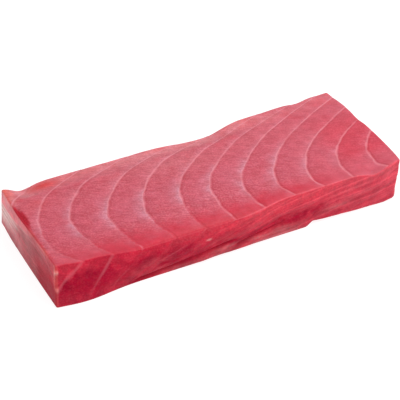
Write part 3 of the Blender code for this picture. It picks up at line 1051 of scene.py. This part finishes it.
def make_flesh():
    """The block's fine surface with the masks that its material reads, and the shift that centres it."""
    box = ((-HALF_LENGTH, LENGTH), (-HALF_WIDTH, WIDTH), (0.0, THICKNESS))
    straight, quads = surface_lattice([fine_lines(start, size) for start, size in box])
    skin = skin_of(straight)
    relief = flesh_relief(skin.points, skin.place) * ramp(skin.z, *RELIEF_START_Z)
    detailed = skin.points + skin.outward * relief[:, None]
    low, high = skin.points.min(axis=0), skin.points.max(axis=0)
    shift = np.array([(low[0] + high[0]) / 2, (low[1] + high[1]) / 2, 0.0])

    mesh = bpy.data.meshes.new("flesh")
    mesh.from_pydata(((detailed - shift) * METRES_PER_MM).tolist(), [], quads.tolist())
    mesh.update()
    for name, values in masks_of(skin).items():
        stored = mesh.attributes.new(name, "FLOAT", "POINT")
        stored.data.foreach_set("value", values.astype(np.float32))
    mesh.shade_smooth()
    return add_object("tuna_flesh_surface", mesh), shift


def connect(tree, socket, value):
    """Links a socket to another one, or gives it a number or a colour."""
    if isinstance(value, bpy.types.NodeSocket):
        tree.links.new(value, socket)
    elif isinstance(value, tuple) and len(value) == 3 and socket.type == "RGBA":
        socket.default_value = (*value, 1.0)
    else:
        socket.default_value = value


def add_node(tree, kind, **values):
    """A new shader node with these input values, by input name with spaces written as underscores."""
    made = tree.nodes.new(kind)
    for name, value in values.items():
        connect(tree, made.inputs[name.replace("_", " ")], value)
    return made


def stored_value(tree, name):
    """The number that the mesh stores under this name."""
    made = tree.nodes.new("ShaderNodeAttribute")
    made.attribute_name = name
    return made.outputs["Fac"]


def maths(tree, operation, first, *others):
    """A number worked out from one or more others."""
    made = tree.nodes.new("ShaderNodeMath")
    made.operation = operation
    for socket, value in zip(made.inputs, (first, *others)):
        connect(tree, socket, value)
    return made.outputs[0]


def mapped(tree, value, low, high, new_low=0.0, new_high=1.0):
    """The value eased from one range into another."""
    ends = {"From_Min": low, "From_Max": high, "To_Min": new_low, "To_Max": new_high}
    made = add_node(tree, "ShaderNodeMapRange", Value=value, **ends)
    made.interpolation_type = "SMOOTHSTEP"
    return made.outputs["Result"]


def mixed(tree, share, first, second, blend="MIX"):
    """Colour mix of first and second."""
    made = tree.nodes.new("ShaderNodeMix")
    made.data_type = "RGBA"
    made.blend_type = blend
    for number, value in zip(MIX_INPUTS, (share, first, second)):
        connect(tree, made.inputs[number], value)
    return made.outputs[MIX_OUTPUT]


def colour_ramp(tree, value, stops):
    """The colour at this value on a ramp of (position, colour) stops."""
    made = add_node(tree, "ShaderNodeValToRGB", Fac=value)
    made.color_ramp.interpolation = "B_SPLINE"
    elements = made.color_ramp.elements
    while len(elements) < len(stops):
        elements.new(HALF_WAY)
    for element, (position, colour) in zip(elements, stops):
        element.position = position
        element.color = (*colour, 1.0)
    return made.outputs["Color"]


def changed_place(tree, place, **change):
    """The place seen by a pattern that is turned or stretched."""
    made = add_node(tree, "ShaderNodeMapping", Vector=place, **change)
    made.vector_type = "TEXTURE"
    return made.outputs[0]


def noise_of(tree, place, size, detail=2.0, waviness=0.0):
    """Noise around 0.5 with features of this size; a size of three numbers stretches it."""
    sizes = size if isinstance(size, tuple) else (size, size, size)
    scaled = changed_place(tree, place, Scale=sizes)
    settings = {"Scale": 1.0, "Detail": detail, "Distortion": waviness}
    return add_node(tree, "ShaderNodeTexNoise", Vector=scaled, **settings).outputs["Fac"]


def brightness_tint(tree, value):
    """A colour to multiply with: on the top red changes less than green and blue, on the cut sides more."""
    share = mapped(tree, stored_value(tree, "cut_side"), 0.0, 1.0, RED_CHANGE_TOP, RED_CHANGE_SIDE)
    red = maths(tree, "MULTIPLY_ADD", maths(tree, "SUBTRACT", value, 1.0), share, 1.0)
    return add_node(tree, "ShaderNodeCombineColor", Red=red, Green=value, Blue=value).outputs["Color"]


def brightness_pattern(tree, place, fibre, grain, bands):
    """Light and dark in the flesh: mottling, fibres, grain and, on the cut sides, bands."""
    fineness = stored_value(tree, "fineness")
    product = mapped(tree, noise_of(tree, place, MOTTLE_SIZE, FINE_DETAIL), *NOISE_RANGE, *MOTTLE_LEVELS)
    changes = (
        (fibre, FIBRE_CHANGE, fineness),
        (grain, GRAIN_CHANGE, fineness),
        (bands, BAND_CHANGE, stored_value(tree, "cut_side")),
    )
    for pattern, change, strength in changes:
        level = maths(tree, "MULTIPLY_ADD", mapped(tree, pattern, *NOISE_RANGE, *change), strength, 1.0)
        product = maths(tree, "MULTIPLY", product, level)
    return product


def band_noise(tree, place):
    """Broad bands across the cut sides, broken up a little along their length."""
    between = maths(tree, "MULTIPLY", stored_value(tree, "band_place"), BANDS_BETWEEN_SEAMS)
    drift = noise_of(tree, place, DRIFT_SIZE)
    along = add_node(tree, "ShaderNodeCombineXYZ", X=maths(tree, "ADD", between, drift)).outputs[0]
    return noise_of(tree, along, 1.0)


def flesh_colour(tree, place, fibre, grain, blotch, line):
    """Colour of the flesh: flakes between seams, haze, richer and paler parts, grain and seams, with painted
    highlights and painted shade in the folds.
    """
    between = maths(tree, "FRACT", maths(tree, "SUBTRACT", stored_value(tree, "seam_place"), SEAM_SHIFT))
    haze = maths(tree, "MULTIPLY", stored_value(tree, "haze"), mapped(tree, blotch, *HAZE_BLOTCHES))
    haze = maths(tree, "MULTIPLY", haze, mapped(tree, fibre, *HAZE_FIBRES))
    colour = mixed(tree, haze, colour_ramp(tree, between, PLAIN_RAMP), colour_ramp(tree, between, HAZY_RAMP))
    streaks = mapped(tree, noise_of(tree, place, CUT_STREAK_SIZE, FINE_DETAIL), *CUT_STREAKS)
    patches = mapped(tree, blotch, *PATCHINESS)
    bands = band_noise(tree, place)
    layers = (
        ("rich", RICH, 1.0),
        ("front_bands", BAND_PINK, mapped(tree, bands, *BANDS_SEEN)),
        # Crimson, partly painted shade towards the bottom of the front face
        ("crimson", CRIMSON, patches),
        ("dull", DULL, streaks),
        # Whitish tissue, with a painted highlight and painted glints
        ("pale", PALE, streaks),
        ("fineness", PALE, mapped(tree, grain, *PALE_GRAIN)),
        ("strip", STRIP_PINK, patches),
        ("orange", ORANGE, 1.0),
        ("lip", LIP_PINK, 1.0),
        ("wedge", WEDGE_RED, WEDGE_SHARE),
        # Painted glow through thin flesh, and painted highlights on the front-left edge
        ("peach_glow_and_highlights", PEACH_GLOW_AND_HIGHLIGHT, patches),
        # Painted highlight on the sharp front edge, and the streaks of the front face
        ("edge_highlight_and_streaks", EDGE_HIGHLIGHT_AND_STREAK_PINK, 1.0),
    )
    for name, tint, strength in layers:
        share = maths(tree, "MULTIPLY", stored_value(tree, name), strength)
        colour = mixed(tree, share, colour, tint)
    pattern = brightness_pattern(tree, place, fibre, grain, bands)
    bright = maths(tree, "MULTIPLY", pattern, seam_shade(tree, between))
    colour = mixed(tree, 1.0, colour, brightness_tint(tree, bright), "MULTIPLY")
    colour = mixed(tree, line, colour, SEAM_PINK)
    # Dark red patches and painted shade in the folds, the groove, a crease and a slit
    return mixed(tree, maths(tree, "MULTIPLY", stored_value(tree, "deep_red_and_shade"), DEEP_SHARE), colour, DEEP_RED_AND_SHADE)


def seam_shade(tree, between):
    """Brightness beside the seams: a dark line just right of each."""
    start, middle, end = SEAM_SHADE
    rising = mapped(tree, between, start, middle)
    falling = mapped(tree, between, middle, end, 1.0, 0.0)
    line = maths(tree, "MULTIPLY", rising, falling)
    return maths(tree, "SUBTRACT", 1.0, maths(tree, "MULTIPLY", line, stored_value(tree, "seam_shade")))


def seam_line(tree, place):
    """Thin line along each seam, broken up a little, from 0 to 1."""
    shifted = maths(tree, "SUBTRACT", stored_value(tree, "seam_place"), SEAM_SHIFT)
    near = maths(tree, "PINGPONG", shifted, HALF_WAY)
    width = mapped(tree, noise_of(tree, place, MOTTLE_SIZE), *NOISE_RANGE, *SEAM_WIDTH_LEVELS)
    wider = mapped(tree, stored_value(tree, "cut_side"), 0.0, 1.0, 1.0, SIDE_SEAM_WIDTH)
    share = maths(tree, "DIVIDE", near, maths(tree, "MULTIPLY", width, wider))
    line = mapped(tree, share, 0.0, SEAM_HALF_WIDTH, 1.0, 0.0)
    shown = maths(tree, "MULTIPLY", line, stored_value(tree, "seam_show"))
    return maths(tree, "MULTIPLY", shown, SEAM_STRENGTH)


def fibre_noise(tree, place):
    """Fine streaks of the muscle fibres."""
    turned = changed_place(tree, place, Rotation=(0.0, 0.0, FIBRE_TURN))
    return noise_of(tree, turned, FIBRE_SIZE, FINE_DETAIL, FIBRE_WAVINESS)


def shader_of(name, settings):
    """A new material whose shader has these settings, by input name; returned with its shader."""
    material = bpy.data.materials.new(name)
    material.use_nodes = True
    shader = material.node_tree.nodes["Principled BSDF"]
    for input_name, value in settings.items():
        connect(material.node_tree, shader.inputs[input_name], value)
    return material, shader


def flesh_material():
    """Moist raw flesh."""
    material, shader = shader_of("tuna_flesh_look", FLESH_FINISH)
    tree = material.node_tree
    place = tree.nodes.new("ShaderNodeTexCoord").outputs["Object"]
    fibre = fibre_noise(tree, place)
    grain = noise_of(tree, place, GRAIN_SIZE)
    blotch = noise_of(tree, place, BLOTCH_SIZE, FINE_DETAIL)
    line = seam_line(tree, place)
    colour = flesh_colour(tree, place, fibre, grain, blotch, line)
    connect(tree, shader.inputs["Base Color"], colour)
    connect(tree, shader.inputs["Roughness"], mapped(tree, blotch, *NOISE_RANGE, *ROUGHNESS_LEVELS))
    specular = mapped(tree, stored_value(tree, "matt"), 0.0, 1.0, SPECULAR_LEVEL, SPECULAR_MATT)
    connect(tree, shader.inputs["Specular IOR Level"], specular)
    height = maths(tree, "MULTIPLY_ADD", grain, BUMP_GRAIN, maths(tree, "MULTIPLY", fibre, BUMP_FIBRE))
    height = maths(tree, "MULTIPLY_ADD", line, BUMP_SEAM, height)
    bump = add_node(tree, "ShaderNodeBump", Height=height, Distance=BUMP_DISTANCE, Strength=1.0)
    connect(tree, shader.inputs["Normal"], bump.outputs["Normal"])
    return material


def make_floor():
    """A plain pale floor."""
    half = FLOOR_SIZE / 2
    mesh = bpy.data.meshes.new("floor")
    low = -FLOOR_DROP
    corners = [(-half, -half, low), (half, -half, low), (half, half, low), (-half, half, low)]
    mesh.from_pydata(corners, [], [(0, 1, 2, 3)])
    mesh.materials.append(shader_of("pale_floor", FLOOR_FINISH)[0])
    add_object("floor", mesh)


def make_light():
    """Soft white surroundings and one large soft light from above."""
    world = bpy.data.worlds.new("soft_room")
    world.use_nodes = True
    background = world.node_tree.nodes["Background"]
    background.inputs["Color"].default_value = (1.0, 1.0, 1.0, 1.0)
    background.inputs["Strength"].default_value = WORLD_STRENGTH
    bpy.context.scene.world = world
    data = bpy.data.lights.new("key_light", "AREA")
    data.size = KEY_SIZE
    data.energy = KEY_POWER
    light = add_object("key_light", data)
    light.location = KEY_PLACE
    light.rotation_euler = (-KEY_PLACE).to_track_quat("-Z", "Y").to_euler()


def make_camera(shift):
    """The camera that sees the block as the photograph does."""
    data = bpy.data.cameras.new("camera")
    data.lens = LENS
    data.sensor_width = SENSOR
    camera = add_object("camera", data)
    camera.location = Vector((np.array(CAMERA_PLACE_MM) - shift) * METRES_PER_MM)
    flat = math.cos(CAMERA_ELEVATION)
    back = Vector((
        math.sin(CAMERA_AZIMUTH) * flat,
        -math.cos(CAMERA_AZIMUTH) * flat,
        math.sin(CAMERA_ELEVATION),
    ))
    camera.rotation_mode = "QUATERNION"
    camera.rotation_quaternion = (-back).to_track_quat("-Z", "Y")
    bpy.context.scene.camera = camera


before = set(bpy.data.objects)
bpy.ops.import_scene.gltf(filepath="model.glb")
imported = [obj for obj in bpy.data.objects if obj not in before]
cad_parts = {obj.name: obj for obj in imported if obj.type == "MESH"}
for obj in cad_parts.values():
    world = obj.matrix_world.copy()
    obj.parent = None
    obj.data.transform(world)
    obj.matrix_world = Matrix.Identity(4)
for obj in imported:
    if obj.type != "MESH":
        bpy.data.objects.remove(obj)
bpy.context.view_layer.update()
flesh, shift = make_flesh()
flesh.data.materials.append(flesh_material())
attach(flesh, "root")
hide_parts(NODE)
make_floor()
make_light()
make_camera(shift)
bpy.context.scene.view_settings.view_transform = "Standard"
